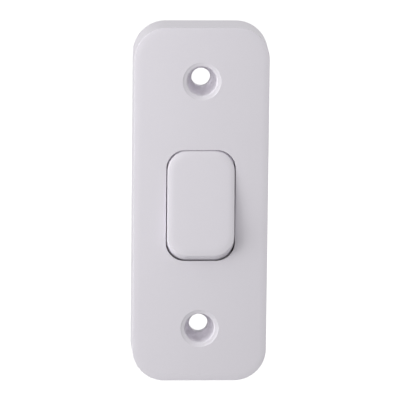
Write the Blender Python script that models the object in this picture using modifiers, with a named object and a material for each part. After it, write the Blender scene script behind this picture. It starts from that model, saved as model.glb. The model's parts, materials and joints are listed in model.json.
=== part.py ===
"""Narrow (architrave) rocker wall switch, two-way, with its whole mechanism.

Metres, +Z up. The origin is the middle of the plate's rear plane, the plane of the wall, midway between
the two fixing holes. The front faces -Y, so everything at positive Y sits inside the wall box.
"""

import math

import bmesh
import bpy
from mathutils import Matrix

MM = 0.001

# Face plate
PLATE_WIDTH = 32.3 * MM
PLATE_HEIGHT = 86.35 * MM
PLATE_DEPTH = 9.5 * MM
PLATE_CORNER = 7.8 * MM
PLATE_DRAFT = 0.12 * MM  # how much the sides lean in from the rear to the front
PLATE_CROWN = 0.11 * MM
CROWN_WIDTH = 1.6 * MM  # the faces of the plate and the rocker fall back a little over this width
EDGE_RADIUS = 0.1 * MM
FACE_THICKNESS = 2.2 * MM
SIDE_THICKNESS = 1.8 * MM
FACE_Y = -PLATE_DEPTH
CEILING_Y = FACE_Y + FACE_THICKNESS
ROOT = 0.6 * MM  # how far a rib or boss is sunk into the face that it stands on
PAST = 1.0 * MM  # how far a cutter runs past the face that it opens
TINY = 0.001 * MM  # the slack in telling whether a point is on a flat face

# Fixing holes: clearance for M3.5 screws on the standard centres
FIXING_CENTRES = 60.3 * MM
BOSS_RADIUS = 5.4 * MM
BOSS_END_Y = -2.0 * MM
DISH_RADIUS = 4.6 * MM
DISH_FLOOR = 4.4 * MM
DISH_DEPTH = 0.12 * MM
RIM_RADIUS = 3.95 * MM
RIM_DEPTH = 0.22 * MM
RIM_END = 0.7 * MM
RECESS_RADIUS = 3.5 * MM
WALL_END = 3.2 * MM
SEAT_DEPTH = 5.5 * MM
BORE_RADIUS = 2.25 * MM

# Ribs behind the plate, and the pads that keep the trunnions down
RIB_HALF = 0.6 * MM
RIB_END_Y = -3.6 * MM
INNER_RIB_Z = (19.5 * MM, 26.0 * MM)
OUTER_RIB_Z = (34.0 * MM, 42.4 * MM)
KEEPER_X = (8.6 * MM, 10.5 * MM)
KEEPER_HALF = 1.2 * MM
KEEPER_END_Y = -5.15 * MM
SIDE_RIB_X = (11.5 * MM, 12.6 * MM)
SIDE_RIB_HALF = 21.0 * MM
SIDE_RIB_END_Y = -4.6 * MM

# Rocker, about a pivot behind the face
PIVOT_Y = -3.4 * MM
ROCKER_TILT = math.radians(6.0)
APERTURE_WIDTH = 16.5 * MM
APERTURE_HEIGHT = 26.95 * MM
APERTURE_CORNER = 4.5 * MM
APERTURE_START = 3.0 * MM  # the stretch that the opening is cut along, in front of the pivot
APERTURE_END = 7.5 * MM
ROCKER_WIDTH = 16.02 * MM
ROCKER_HEIGHT = 26.27 * MM
ROCKER_CORNER = 4.85 * MM  # rounder than the opening's own corners
ROCKER_CROWN = 0.22 * MM
ROCKER_FACE = 7.45 * MM  # from the pivot to the front surface
ROCKER_SKIN = 1.5 * MM
ROCKER_FACE_SKIN = 1.8 * MM
SKIRT_END = 2.6 * MM  # how far in front of the pivot the skirt's end walls stop
LOBE_DEPTH = 2.2 * MM
LOBE_HALF = 3.0 * MM
LOBE_ROOT = 7.0 * MM
CROSS_RIB_END = -1.0 * MM
LONG_RIB_END = -4.2 * MM
LONG_RIB_HALF = 11.6 * MM
TRUNNION_RADIUS = 1.4 * MM
TRUNNION_REACH = 9.9 * MM

# Spring tube, plunger and spring, all on the rocker's own axis
TUBE_RADIUS = 2.6 * MM
TUBE_BORE = 1.75 * MM
TUBE_END = 4.6 * MM
TUBE_BOTTOM = -4.5 * MM
PLUNGER_RADIUS = 1.55 * MM
NOSE_RADIUS = 1.3 * MM
PLUNGER_START = 1.4 * MM
PLUNGER_TIP = 9.8 * MM
SPRING_RADIUS = 1.2 * MM
SPRING_WIRE = 0.16 * MM
SPRING_TURNS = 6
SPRING_POINTS = 12

# Contact beam on its knife edge
BEAM_PIVOT_Y = 7.3 * MM
BEAM_TILT = math.radians(7.0)
BEAM_WIDTH = 4.6 * MM
BEAM_HALF = 10.8 * MM
STRIP_THICKNESS = 0.8 * MM
BEAM_CHAMFER = 0.3 * MM
NOTCH_DEPTH = 0.2 * MM
NOTCH_HALF = 0.5 * MM
CONTACT_REACH = 9.3 * MM
CONTACT_RADIUS = 1.6 * MM
CONTACT_HEIGHT = 0.7 * MM
CONTACT_RIM = 0.3 * MM
RIVET_RADIUS = 0.75 * MM
RIVET_HOLE = 0.9 * MM
RIVET_HEAD = 1.2 * MM
RIVET_HEAD_HEIGHT = 0.35 * MM
TOUCH_GAP = 0.1 * MM

# Copper strips lying on the floor of the housing
STRIP_Y = 10.3 * MM
STRIP_REAR_Y = STRIP_Y + STRIP_THICKNESS
TAIL_WIDTH = 4.2 * MM
TAIL_END = 20.0 * MM
STRIP_SCREW_HOLE = 1.8 * MM
KNIFE_TIP_Y = BEAM_PIVOT_Y - 0.05 * MM
KNIFE_HALF = 1.7 * MM
CHEEK_INNER = 2.65 * MM
CHEEK_OUTER = 3.25 * MM
CHEEK_HALF = 2.4 * MM
CHEEK_FRONT_Y = 6.4 * MM

# Terminals
TERMINAL_X = 6.2 * MM
TERMINAL_Z = 17.6 * MM
TERMINAL_WIDTH = 5.4 * MM
TERMINAL_LENGTH = 5.2 * MM
TERMINAL_EDGE = 0.4 * MM
TERMINAL_FRONT_Y = 3.8 * MM
TERMINAL_REAR_Y = 10.1 * MM
WIRE_Y = 6.4 * MM
WIRE_RADIUS = 1.95 * MM
WIRE_ENTRY_RADIUS = 2.3 * MM
TERMINAL_SCREW_RADIUS = 1.5 * MM
TERMINAL_THREAD_RADIUS = 1.6 * MM
TERMINAL_HEAD_RADIUS = 2.4 * MM
TERMINAL_HEAD_HEIGHT = 1.6 * MM
TERMINAL_HEAD_Y = 13.6 * MM
TERMINAL_TIP_Y = 8.9 * MM
SCREW_CHAMFER = 0.3 * MM
SLOT_DEPTH = 0.8 * MM
SLOT_HALF = 0.35 * MM

# Housing, bearing frame and the two screws that hold them to the plate
HOUSING_WIDTH = 22.4 * MM
HOUSING_HEIGHT = 44.0 * MM
HOUSING_CORNER = 2.0 * MM
HOUSING_FRONT_Y = -0.6 * MM
HOUSING_REAR_Y = 15.4 * MM
HOUSING_EDGE = 0.6 * MM
FLOOR_Y = 11.35 * MM
RELIEF_Y = 11.95 * MM
RELIEF_RADIUS = 1.6 * MM
CHAMBER_WIDTH = 17.8 * MM
CHAMBER_HALF = 13.4 * MM
POCKET_INNER_X = 3.2 * MM
POCKET_OUTER_X = 9.2 * MM
POCKET_START = 14.6 * MM
POCKET_END = 20.6 * MM
SLOT_WAY_HALF = TAIL_WIDTH / 2 + 0.3 * MM
WELL_RADIUS = 2.85 * MM
PILLAR_Z = 17.6 * MM
PILLAR_RADIUS = 2.7 * MM
PILLAR_END_Y = -0.9 * MM
PILLAR_HOLE = 1.45 * MM
SCREW_RADIUS = 1.3 * MM
SCREW_HEAD_RADIUS = 2.35 * MM
SCREW_HEAD_HEIGHT = 1.5 * MM
SCREW_SEAT_Y = 12.4 * MM
SCREW_TIP_Y = -5.6 * MM
SCREW_WELL_RADIUS = 2.6 * MM
FRAME_WIDTH = 21.6 * MM
FRAME_HEIGHT = 43.2 * MM
FRAME_FRONT_Y = -2.6 * MM
FRAME_REAR_Y = -0.9 * MM
FRAME_OPENING_WIDTH = 16.6 * MM
FRAME_OPENING_HEIGHT = 26.0 * MM
FRAME_HOLE_RADIUS = PILLAR_RADIUS + 0.3 * MM
POST_X = (8.3 * MM, 10.7 * MM)
POST_ROOT = 0.4 * MM
POST_HALF = 3.2 * MM
POST_FRONT_Y = -5.6 * MM
BEARING_RADIUS = 1.55 * MM

WHITE_PLASTIC = ((0.80, 0.79, 0.82), 0.35, 0.0)
BASE_PLASTIC = ((0.74, 0.74, 0.73), 0.55, 0.0)
ACETAL = ((0.86, 0.85, 0.80), 0.40, 0.0)
BRASS = ((0.78, 0.60, 0.28), 0.30, 1.0)
COPPER = ((0.80, 0.45, 0.30), 0.35, 1.0)
SILVER = ((0.83, 0.83, 0.81), 0.25, 1.0)
STEEL = ((0.62, 0.63, 0.65), 0.32, 1.0)


# ---------------------------------------------------------------- scene and placing


def clear_scene():
    for obj in list(bpy.data.objects):
        bpy.data.objects.remove(obj, do_unlink=True)


def new_collection(name, inside):
    collection = bpy.data.collections.new(name)
    inside.children.link(collection)
    return collection


clear_scene()
SWITCH = new_collection("rocker_wall_switch", bpy.context.scene.collection)
CUTTERS = new_collection("cutters", bpy.context.scene.collection)


def pivot(name, y, tilt):
    """An empty on a hinge axis along X. Its children are modelled level and turn with it."""
    empty = bpy.data.objects.new(name, None)
    empty.location = (0, y, 0)
    empty.rotation_euler = (tilt, 0, 0)
    SWITCH.objects.link(empty)
    return empty


def paint(obj, finish):
    colour, roughness, metallic = finish
    material = bpy.data.materials.new(obj.name)
    material.use_nodes = True
    shader = material.node_tree.nodes["Principled BSDF"]
    shader.inputs["Base Color"].default_value = (*colour, 1)
    shader.inputs["Roughness"].default_value = roughness
    shader.inputs["Metallic"].default_value = metallic
    obj.data.materials.clear()
    obj.data.materials.append(material)


def finished(obj, finish, parent=None, location=(0, 0, 0)):
    """Turns a worked shape into a part of the switch, with its own material and parent."""
    if obj.name not in SWITCH.objects:
        CUTTERS.objects.unlink(obj)
        SWITCH.objects.link(obj)
    obj.hide_render = False
    obj.display_type = "TEXTURED"
    obj.parent = parent
    obj.location = location
    paint(obj, finish)
    return obj


# ---------------------------------------------------------------- shapes


def shape(name, mesh):
    """A new object, kept as a cutter until finished() makes it a part."""
    obj = bpy.data.objects.new(name, mesh)
    CUTTERS.objects.link(obj)
    obj.hide_render = True
    obj.display_type = "WIRE"
    return obj


def evaluated_mesh(obj):
    bpy.context.view_layer.update()
    graph = bpy.context.evaluated_depsgraph_get()
    return bpy.data.meshes.new_from_object(obj.evaluated_get(graph))


def bake(obj):
    """Replaces the object's mesh with what its modifiers make of it."""
    mesh = evaluated_mesh(obj)
    obj.modifiers.clear()
    obj.data = mesh
    return obj


def box(name, low, high):
    bm = bmesh.new()
    bmesh.ops.create_cube(bm, size=1)
    for vertex in bm.verts:
        for axis in range(3):
            middle = (low[axis] + high[axis]) / 2
            vertex.co[axis] = middle + vertex.co[axis] * (high[axis] - low[axis])
    mesh = bpy.data.meshes.new(name)
    bm.to_mesh(mesh)
    bm.free()
    return shape(name, mesh)


def prism(name, outline, along, low, high):
    """A flat outline drawn in the other two axes, run from low to high along X or Y."""
    curve = bpy.data.curves.new(name, "CURVE")
    curve.dimensions = "2D"
    curve.fill_mode = "BOTH"
    curve.extrude = (high - low) / 2
    spline = curve.splines.new("POLY")
    spline.points.add(len(outline) - 1)
    for point, (a, b) in zip(spline.points, outline):
        point.co = (a, b, 0, 1)
    spline.use_cyclic_u = True
    guide = bpy.data.objects.new(name, curve)
    CUTTERS.objects.link(guide)
    middle = (low + high) / 2
    if along == "Y":
        guide.rotation_euler = (math.pi / 2, 0, 0)
        guide.location = (0, middle, 0)
    else:
        guide.rotation_euler = (math.pi / 2, 0, math.pi / 2)
        guide.location = (middle, 0, 0)
    mesh = evaluated_mesh(guide)
    mesh.transform(guide.matrix_world)
    bpy.data.objects.remove(guide)
    bm = bmesh.new()
    bm.from_mesh(mesh)
    bmesh.ops.remove_doubles(bm, verts=bm.verts, dist=1e-7)
    bmesh.ops.recalc_face_normals(bm, faces=bm.faces)
    bm.to_mesh(mesh)
    bm.free()
    return shape(name, mesh)


def loft(name, sections):
    """A closed skin through sections that all have the same number of points, capped at both ends."""
    bm = bmesh.new()
    rings = [[bm.verts.new(point) for point in section] for section in sections]
    for ring, following in zip(rings, rings[1:]):
        for index in range(len(ring)):
            bm.faces.new((ring[index - 1], ring[index], following[index], following[index - 1]))
    bm.faces.new(rings[0])
    bm.faces.new(rings[-1])
    bmesh.ops.recalc_face_normals(bm, faces=bm.faces)
    mesh = bpy.data.meshes.new(name)
    bm.to_mesh(mesh)
    bm.free()
    return shape(name, mesh)


def evenly(start, end, count):
    """Numbers from start to end, both included."""
    return [start + (end - start) * step / (count - 1) for step in range(count)]


def turned(name, profile, along, centre=(0, 0, 0), steps=32):
    """A profile of (radius, distance) points, from one end of the axis to the other, turned about it."""
    mesh = bpy.data.meshes.new(name)
    downward = profile if profile[0][1] > profile[-1][1] else profile[::-1]
    points = [(radius, 0, distance) for radius, distance in downward]
    mesh.from_pydata(points, [(i, i + 1) for i in range(len(points) - 1)], [])
    obj = shape(name, mesh)
    screw = obj.modifiers.new("turn", "SCREW")
    screw.axis = "Z"
    screw.steps = steps
    screw.render_steps = steps
    screw.use_merge_vertices = True
    screw.merge_threshold = 1e-6
    bake(obj)
    turns = {"X": (0, math.pi / 2, 0), "Y": (-math.pi / 2, 0, 0), "Z": (0, 0, 0)}
    obj.rotation_euler = turns[along]
    obj.location = centre
    bpy.context.view_layer.update()
    obj.data.transform(obj.matrix_world)
    obj.rotation_euler = (0, 0, 0)
    obj.location = (0, 0, 0)
    return obj


def cylinder(name, radius, along, low, high, centre=(0, 0, 0), steps=32):
    profile = [(0, low), (radius, low), (radius, high), (0, high)]
    return turned(name, profile, along, centre, steps)


def rounded_rectangle(width, height, corner, segments=10):
    """The points of a rectangle with round corners, counter-clockwise about the origin."""
    points = []
    for quarter, (side_x, side_z) in enumerate(((1, 1), (-1, 1), (-1, -1), (1, -1))):
        centre_x = side_x * (width / 2 - corner)
        centre_z = side_z * (height / 2 - corner)
        for step in range(segments + 1):
            angle = (quarter + step / segments) * math.pi / 2
            points.append((centre_x + corner * math.cos(angle), centre_z + corner * math.sin(angle)))
    return points


def arc(centre_a, centre_b, radius_a, radius_b, start, end, segments):
    """Points on an ellipse's arc between two angles, in degrees."""
    points = []
    for step in range(segments + 1):
        angle = math.radians(start + (end - start) * step / segments)
        points.append((centre_a + radius_a * math.cos(angle), centre_b + radius_b * math.sin(angle)))
    return points


def combine(obj, others, operation):
    """One Boolean of the object with all the others at once."""
    group = new_collection(f"{obj.name}_{operation.lower()}", CUTTERS)
    for other in others:
        CUTTERS.objects.unlink(other)
        group.objects.link(other)
    boolean = obj.modifiers.new(group.name, "BOOLEAN")
    boolean.operation = operation
    boolean.solver = "EXACT"
    boolean.operand_type = "COLLECTION"
    boolean.collection = group
    return obj


def cut(obj, *others):
    return combine(obj, others, "DIFFERENCE")


def join(obj, *others):
    return combine(obj, others, "UNION")


def round_edges(obj, radius, segments, chosen):
    """Rounds the edges whose two ends both satisfy chosen(point)."""
    bm = bmesh.new()
    bm.from_mesh(obj.data)
    weight = bm.edges.layers.float.new("bevel_weight_edge")
    for edge in bm.edges:
        sharp = len(edge.link_faces) == 2 and edge.calc_face_angle() > math.radians(35)
        if sharp and all(chosen(vertex.co) for vertex in edge.verts):
            edge[weight] = 1.0
    bm.to_mesh(obj.data)
    bm.free()
    bevel = obj.modifiers.new("round", "BEVEL")
    bevel.limit_method = "WEIGHT"
    bevel.width = radius
    bevel.segments = segments
    return bake(obj)


# ---------------------------------------------------------------- plate


def soft_edge(crown):
    """Insets and setbacks of a front edge, from the side inward: a tight corner, then a slight crown."""
    slope = math.degrees(math.atan(2 * crown / CROWN_WIDTH))
    edge = arc(EDGE_RADIUS, crown + EDGE_RADIUS, -EDGE_RADIUS, -EDGE_RADIUS, 0, 90 - slope, 3)
    start = edge[-1][0]
    for part in evenly(0, 1, 4)[1:]:
        edge.append((start + CROWN_WIDTH * part, crown * (1 - part) ** 2))
    return edge


def swung_section(forward, width, height, corner):
    """An outline at a distance in front of the pivot, given its size where it passes the plate's face.

    Each point keeps one distance from the pivot's axis, so the ends pass the opening evenly at any tilt.
    """
    rim = PIVOT_Y - FACE_Y
    section = []
    for x, z in rounded_rectangle(width, height, corner, 6):
        section.append((x, -forward, math.copysign(math.sqrt(rim**2 + z**2 - forward**2), z)))
    return section


def rocker_section(forward, inset=0):
    return swung_section(
        forward, ROCKER_WIDTH - 2 * inset, ROCKER_HEIGHT - 2 * inset, ROCKER_CORNER - inset
    )


def plate_section(y, inset):
    width = PLATE_WIDTH - 2 * inset
    height = PLATE_HEIGHT - 2 * inset
    return [(x, y, z) for x, z in rounded_rectangle(width, height, PLATE_CORNER - inset, 8)]


def fixing_recess(name, z):
    """The cutter for a fixing hole: a shallow dish, a screw-head recess, a round seat and a clear bore."""
    spread = (DISH_RADIUS - DISH_FLOOR) / DISH_DEPTH
    profile = [(0, -PAST), (DISH_RADIUS + PAST * spread, -PAST), (DISH_FLOOR, DISH_DEPTH)]
    profile += arc(RIM_RADIUS, RIM_END, RECESS_RADIUS - RIM_RADIUS, RIM_DEPTH - RIM_END, 90, 0, 4)
    profile += arc(BORE_RADIUS, WALL_END, RECESS_RADIUS - BORE_RADIUS, SEAT_DEPTH - WALL_END, 0, 90, 5)
    profile += [(BORE_RADIUS, PLATE_DEPTH), (0, PLATE_DEPTH)]
    return turned(name, profile, "Y", (0, FACE_Y, z), 32)


def end_posts_and_ribs(side, end):
    """The solid features behind one end of the plate: the fixing boss, the pillar and two ribs."""
    root_y = CEILING_Y - ROOT
    boss_z = side * FIXING_CENTRES / 2
    boss = cylinder(f"{end}_boss", BOSS_RADIUS, "Y", root_y, BOSS_END_Y, (0, 0, boss_z), 32)
    pillar_z = side * PILLAR_Z
    pillar = cylinder(f"{end}_pillar", PILLAR_RADIUS, "Y", root_y, PILLAR_END_Y, (0, 0, pillar_z), 24)
    ribs = []
    for name, levels in (("inner_rib", INNER_RIB_Z), ("outer_rib", OUTER_RIB_Z)):
        low, high = sorted(side * level for level in levels)
        ribs.append(
            box(f"{end}_{name}", (-RIB_HALF, root_y, low), (RIB_HALF, RIB_END_Y, high)),
        )
    return [boss, pillar, *ribs]


def side_keeper_and_rib(side, name):
    """Behind one side of the plate: the pad that keeps a trunnion down, and a rib along the housing."""
    root_y = CEILING_Y - ROOT
    near, far = sorted((side * KEEPER_X[0], side * KEEPER_X[1]))
    keeper = box(f"{name}_keeper", (near, root_y, -KEEPER_HALF), (far, KEEPER_END_Y, KEEPER_HALF))
    near, far = sorted((side * SIDE_RIB_X[0], side * SIDE_RIB_X[1]))
    rib = box(f"{name}_rib", (near, root_y, -SIDE_RIB_HALF), (far, SIDE_RIB_END_Y, SIDE_RIB_HALF))
    return [keeper, rib]


def make_front_plate():
    sections = [plate_section(0, 0)]
    for inset, setback in soft_edge(PLATE_CROWN):
        sections.append(plate_section(FACE_Y + setback, PLATE_DRAFT + inset))
    plate = loft("front_plate", sections)
    inner = rounded_rectangle(
        PLATE_WIDTH - 2 * SIDE_THICKNESS, PLATE_HEIGHT - 2 * SIDE_THICKNESS, PLATE_CORNER - SIDE_THICKNESS, 6
    )
    cut(plate, prism("plate_hollow", inner, "Y", CEILING_Y, PAST))
    additions = []
    forwards = evenly(APERTURE_START, APERTURE_END, 6)
    shape = (APERTURE_WIDTH, APERTURE_HEIGHT, APERTURE_CORNER)
    aperture = loft("aperture", [swung_section(forward, *shape) for forward in forwards])
    aperture.location = (0, PIVOT_Y, 0)
    openings = [aperture]
    for side, end in ((1, "upper"), (-1, "lower")):
        additions += end_posts_and_ribs(side, end)
        openings.append(fixing_recess(f"{end}_recess", side * FIXING_CENTRES / 2))
        centre = (0, 0, side * PILLAR_Z)
        openings.append(
            cylinder(f"{end}_pillar_hole", PILLAR_HOLE, "Y", CEILING_Y + ROOT, PAST, centre, 20)
        )
    for side, name in ((1, "right"), (-1, "left")):
        additions += side_keeper_and_rib(side, name)
    join(plate, *additions)
    cut(plate, *openings)
    finished(plate, WHITE_PLASTIC)


# ---------------------------------------------------------------- rocker, plunger and spring


def make_rocker(parent):
    """The rocker cap, modelled level with the pivot at its own origin."""
    face = -ROCKER_FACE
    far = PLATE_WIDTH
    edge = soft_edge(ROCKER_CROWN)
    levels = evenly(-LOBE_DEPTH, ROCKER_FACE - edge[0][1], 7)
    sections = [rocker_section(forward) for forward in levels]
    for inset, setback in edge[1:]:
        sections.append(rocker_section(ROCKER_FACE - setback, inset))
    cap = loft("rocker_cap", sections)
    inner_end = ROCKER_FACE - ROCKER_FACE_SKIN
    inner_levels = evenly(-LOBE_DEPTH - PAST, inner_end, 7)
    inner_sections = [rocker_section(forward, ROCKER_SKIN) for forward in inner_levels]
    openings = [loft("rocker_hollow", inner_sections)]
    for side, end in ((1, "upper"), (-1, "lower")):
        outline = [
            (-SKIRT_END, side * LOBE_ROOT),
            (LOBE_DEPTH, side * LOBE_HALF),
            (LOBE_DEPTH + PAST, side * LOBE_HALF),
            (LOBE_DEPTH + PAST, side * far),
            (-SKIRT_END, side * far),
        ]
        openings.append(prism(f"{end}_skirt_end", outline, "X", -far, far))
    cut(cap, *openings)
    rib_root = face + ROCKER_FACE_SKIN - ROOT
    half_inside = (ROCKER_WIDTH - ROCKER_SKIN) / 2
    cross_rib = box(
        "cross_rib", (-half_inside, rib_root, -RIB_HALF), (half_inside, CROSS_RIB_END, RIB_HALF)
    )
    long_rib = box(
        "long_rib", (-RIB_HALF, rib_root, -LONG_RIB_HALF), (RIB_HALF, LONG_RIB_END, LONG_RIB_HALF)
    )
    tube = cylinder("spring_tube", TUBE_RADIUS, "Y", rib_root, TUBE_END, steps=24)
    additions = [cross_rib, long_rib, tube]
    for side, name in ((1, "right"), (-1, "left")):
        reach = sorted((side * half_inside, side * TRUNNION_REACH))
        additions.append(cylinder(f"{name}_trunnion", TRUNNION_RADIUS, "X", *reach, steps=24))
    join(cap, *additions)
    cut(cap, cylinder("spring_bore", TUBE_BORE, "Y", TUBE_BOTTOM, TUBE_END + PAST, steps=20))
    follow_pivot(cap, parent)
    finished(cap, WHITE_PLASTIC, parent)


def follow_pivot(obj, parent):
    """Gives every cutter of the object the same parent, so that they turn together."""
    for modifier in obj.modifiers:
        for cutter in modifier.collection.objects:
            cutter.parent = parent


def make_plunger(parent):
    """A round-nosed pin that slides in the rocker's tube, on the rocker's own axis."""
    nose_centre = PLUNGER_TIP - NOSE_RADIUS
    nose = arc(0, nose_centre, NOSE_RADIUS, NOSE_RADIUS, 0, 90, 5)
    shoulder = PLUNGER_RADIUS - NOSE_RADIUS
    profile = [(0, PLUNGER_START), (PLUNGER_RADIUS - shoulder, PLUNGER_START)]
    profile += [(PLUNGER_RADIUS, PLUNGER_START + shoulder), (PLUNGER_RADIUS, nose_centre - 2 * shoulder)]
    profile += [*nose[:-1], (0, PLUNGER_TIP)]
    finished(turned("plunger", profile, "Y", steps=20), ACETAL, parent)


def make_plunger_spring(parent):
    """A compression spring between the bottom of the tube and the plunger."""
    clear = SPRING_WIRE + TOUCH_GAP
    start = TUBE_BOTTOM + clear
    end = PLUNGER_START - clear
    count = SPRING_TURNS * SPRING_POINTS
    curve = bpy.data.curves.new("plunger_spring", "CURVE")
    curve.dimensions = "3D"
    curve.bevel_depth = SPRING_WIRE
    curve.bevel_resolution = 2
    curve.use_fill_caps = True
    spline = curve.splines.new("POLY")
    spline.points.add(count)
    for step, point in enumerate(spline.points):
        angle = 2 * math.pi * step / SPRING_POINTS
        level = start + (end - start) * step / count
        point.co = (SPRING_RADIUS * math.cos(angle), level, SPRING_RADIUS * math.sin(angle), 1)
    spring = bpy.data.objects.new("plunger_spring", curve)
    SWITCH.objects.link(spring)
    spring.parent = parent
    paint(spring, STEEL)


# ---------------------------------------------------------------- contacts


def make_contact(name, y, z, facing, parent=None):
    """A domed contact, riveted through a strip whose face is at y; facing is +1 or -1 along Y."""
    dome = arc(0, CONTACT_RIM, CONTACT_RADIUS, CONTACT_HEIGHT - CONTACT_RIM, 0, 90, 4)
    under = STRIP_THICKNESS + 2 * TOUCH_GAP
    profile = [(0, -under - RIVET_HEAD_HEIGHT), (RIVET_HEAD, -under - RIVET_HEAD_HEIGHT)]
    profile += [(RIVET_HEAD, -under), (RIVET_RADIUS, -under), (RIVET_RADIUS, 0), (CONTACT_RADIUS, 0)]
    profile += [*dome[:-1], (0, CONTACT_HEIGHT)]
    profile = [(radius, facing * distance) for radius, distance in profile]
    contact = turned(name, profile, "Y", steps=16)
    finished(contact, SILVER, parent, (0, y + facing * TOUCH_GAP, z))


def make_contact_beam(parent):
    """The see-saw beam, modelled level with the knife edge at its own origin."""
    front = -STRIP_THICKNESS
    outline = [
        (front, -BEAM_HALF + BEAM_CHAMFER),
        (front + BEAM_CHAMFER, -BEAM_HALF),
        (0, -BEAM_HALF),
        (0, -NOTCH_HALF),
        (-NOTCH_DEPTH, 0),
        (0, NOTCH_HALF),
        (0, BEAM_HALF),
        (front + BEAM_CHAMFER, BEAM_HALF),
        (front, BEAM_HALF - BEAM_CHAMFER),
    ]
    beam = prism("contact_beam", outline, "X", -BEAM_WIDTH / 2, BEAM_WIDTH / 2)
    holes = []
    for side, end in ((1, "upper"), (-1, "lower")):
        centre = (0, 0, side * CONTACT_REACH)
        holes.append(cylinder(f"{end}_beam_hole", RIVET_HOLE, "Y", front - PAST, PAST, centre, 20))
        make_contact(f"{end}_moving_contact", 0, side * CONTACT_REACH, 1, parent)
    cut(beam, *holes)
    follow_pivot(beam, parent)
    finished(beam, COPPER, parent)


def strip_hole(name, radius, x, z):
    """The cutter for a round hole through a strip that lies on the housing's floor."""
    return cylinder(name, radius, "Y", STRIP_Y - PAST, STRIP_REAR_Y + PAST, (x, 0, z), 20)


def make_common_strap():
    """The common strip, with the knife edge and two cheeks that hold the beam sideways."""
    near_x = TERMINAL_X - TAIL_WIDTH / 2
    far_x = TERMINAL_X + TAIL_WIDTH / 2
    outline = [
        (-CHEEK_OUTER, -CHEEK_HALF),
        (far_x, -CHEEK_HALF),
        (far_x, TAIL_END),
        (near_x, TAIL_END),
        (near_x, CHEEK_HALF),
        (-CHEEK_OUTER, CHEEK_HALF),
    ]
    strap = prism("common_strap", outline, "Y", STRIP_Y, STRIP_REAR_Y)
    sunk = STRIP_Y + STRIP_THICKNESS / 2
    knife_outline = [(sunk, -KNIFE_HALF), (sunk, KNIFE_HALF), (KNIFE_TIP_Y, 0)]
    additions = [prism("knife_edge", knife_outline, "X", -BEAM_WIDTH / 2, BEAM_WIDTH / 2)]
    for side, name in ((1, "right"), (-1, "left")):
        near, far = sorted((side * CHEEK_INNER, side * CHEEK_OUTER))
        additions.append(
            box(f"{name}_cheek", (near, CHEEK_FRONT_Y, -CHEEK_HALF), (far, sunk, CHEEK_HALF))
        )
    join(strap, *additions)
    cut(strap, strip_hole("common_strap_hole", STRIP_SCREW_HOLE, TERMINAL_X, TERMINAL_Z))
    finished(strap, COPPER)


def make_line_strip(line, side):
    """A fixed-contact strip from under one end of the beam to its terminal on the left."""
    near_z = side * (CONTACT_REACH - TAIL_WIDTH / 2)
    far_z = side * (CONTACT_REACH + TAIL_WIDTH / 2)
    inner_x = TAIL_WIDTH / 2
    left_x = -TERMINAL_X - TAIL_WIDTH / 2
    right_x = -TERMINAL_X + TAIL_WIDTH / 2
    outline = [
        (inner_x, near_z),
        (inner_x, far_z),
        (right_x, far_z),
        (right_x, side * TAIL_END),
        (left_x, side * TAIL_END),
        (left_x, near_z),
    ]
    strip = prism(f"{line}_contact_strip", outline, "Y", STRIP_Y, STRIP_REAR_Y)
    cut(
        strip,
        strip_hole(f"{line}_rivet_hole", RIVET_HOLE, 0, side * CONTACT_REACH),
        strip_hole(f"{line}_screw_hole", STRIP_SCREW_HOLE, -TERMINAL_X, side * TERMINAL_Z),
    )
    finished(strip, COPPER)
    make_contact(f"{line}_fixed_contact", STRIP_Y, side * CONTACT_REACH, -1)


# ---------------------------------------------------------------- terminals and screws


def make_terminal(name, x, z):
    """A brass pillar terminal: the wire goes in along Z, and the screw comes in from the rear."""
    half_width = TERMINAL_WIDTH / 2
    half_length = TERMINAL_LENGTH / 2
    low = (x - half_width, TERMINAL_FRONT_Y, z - half_length)
    high = (x + half_width, TERMINAL_REAR_Y, z + half_length)
    block = round_edges(box(name, low, high), TERMINAL_EDGE, 2, lambda point: True)
    ends = (z - half_length - PAST, z + half_length + PAST)
    wire_hole = cylinder(f"{name}_wire_hole", WIRE_RADIUS, "Z", *ends, (x, WIRE_Y, 0), 24)
    depth = (WIRE_Y, TERMINAL_REAR_Y + PAST)
    thread = cylinder(f"{name}_thread", TERMINAL_THREAD_RADIUS, "Y", *depth, (x, 0, z), 20)
    cut(block, wire_hole, thread)
    finished(block, BRASS)


def make_screw(name, shank, head, ends, location):
    """A cheese-head screw along Y with a straight slot; ends are its tip, under its head, and its top."""
    tip, under_head, top = ends
    profile = [(0, tip), (shank - SCREW_CHAMFER, tip), (shank, tip + SCREW_CHAMFER)]
    profile += [(shank, under_head), (head, under_head)]
    profile += [(head, top - SCREW_CHAMFER), (head - SCREW_CHAMFER, top), (0, top)]
    screw = turned(name, profile, "Y", steps=20)
    slot = box(
        f"{name}_slot",
        (-head - PAST, top - SLOT_DEPTH, -SLOT_HALF),
        (head + PAST, top + PAST, SLOT_HALF),
    )
    bake(cut(screw, slot))
    finished(screw, STEEL, None, location)


def make_terminal_screw(name, x, z):
    ends = (TERMINAL_TIP_Y, TERMINAL_HEAD_Y, TERMINAL_HEAD_Y + TERMINAL_HEAD_HEIGHT)
    make_screw(name, TERMINAL_SCREW_RADIUS, TERMINAL_HEAD_RADIUS, ends, (x, 0, z))


def make_housing_screw(name, z):
    under_head = SCREW_SEAT_Y + TOUCH_GAP
    ends = (SCREW_TIP_Y, under_head, under_head + SCREW_HEAD_HEIGHT)
    make_screw(name, SCREW_RADIUS, SCREW_HEAD_RADIUS, ends, (0, 0, z))


# ---------------------------------------------------------------- housing and bearing frame


def terminal_pocket(tag, side_x, side_z):
    """The pocket that a terminal block stands in."""
    open_y = HOUSING_FRONT_Y - PAST
    near_x, far_x = sorted((side_x * POCKET_INNER_X, side_x * POCKET_OUTER_X))
    near_z, far_z = sorted((side_z * POCKET_START, side_z * POCKET_END))
    return box(f"{tag}_pocket", (near_x, open_y, near_z), (far_x, FLOOR_Y, far_z))


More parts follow.
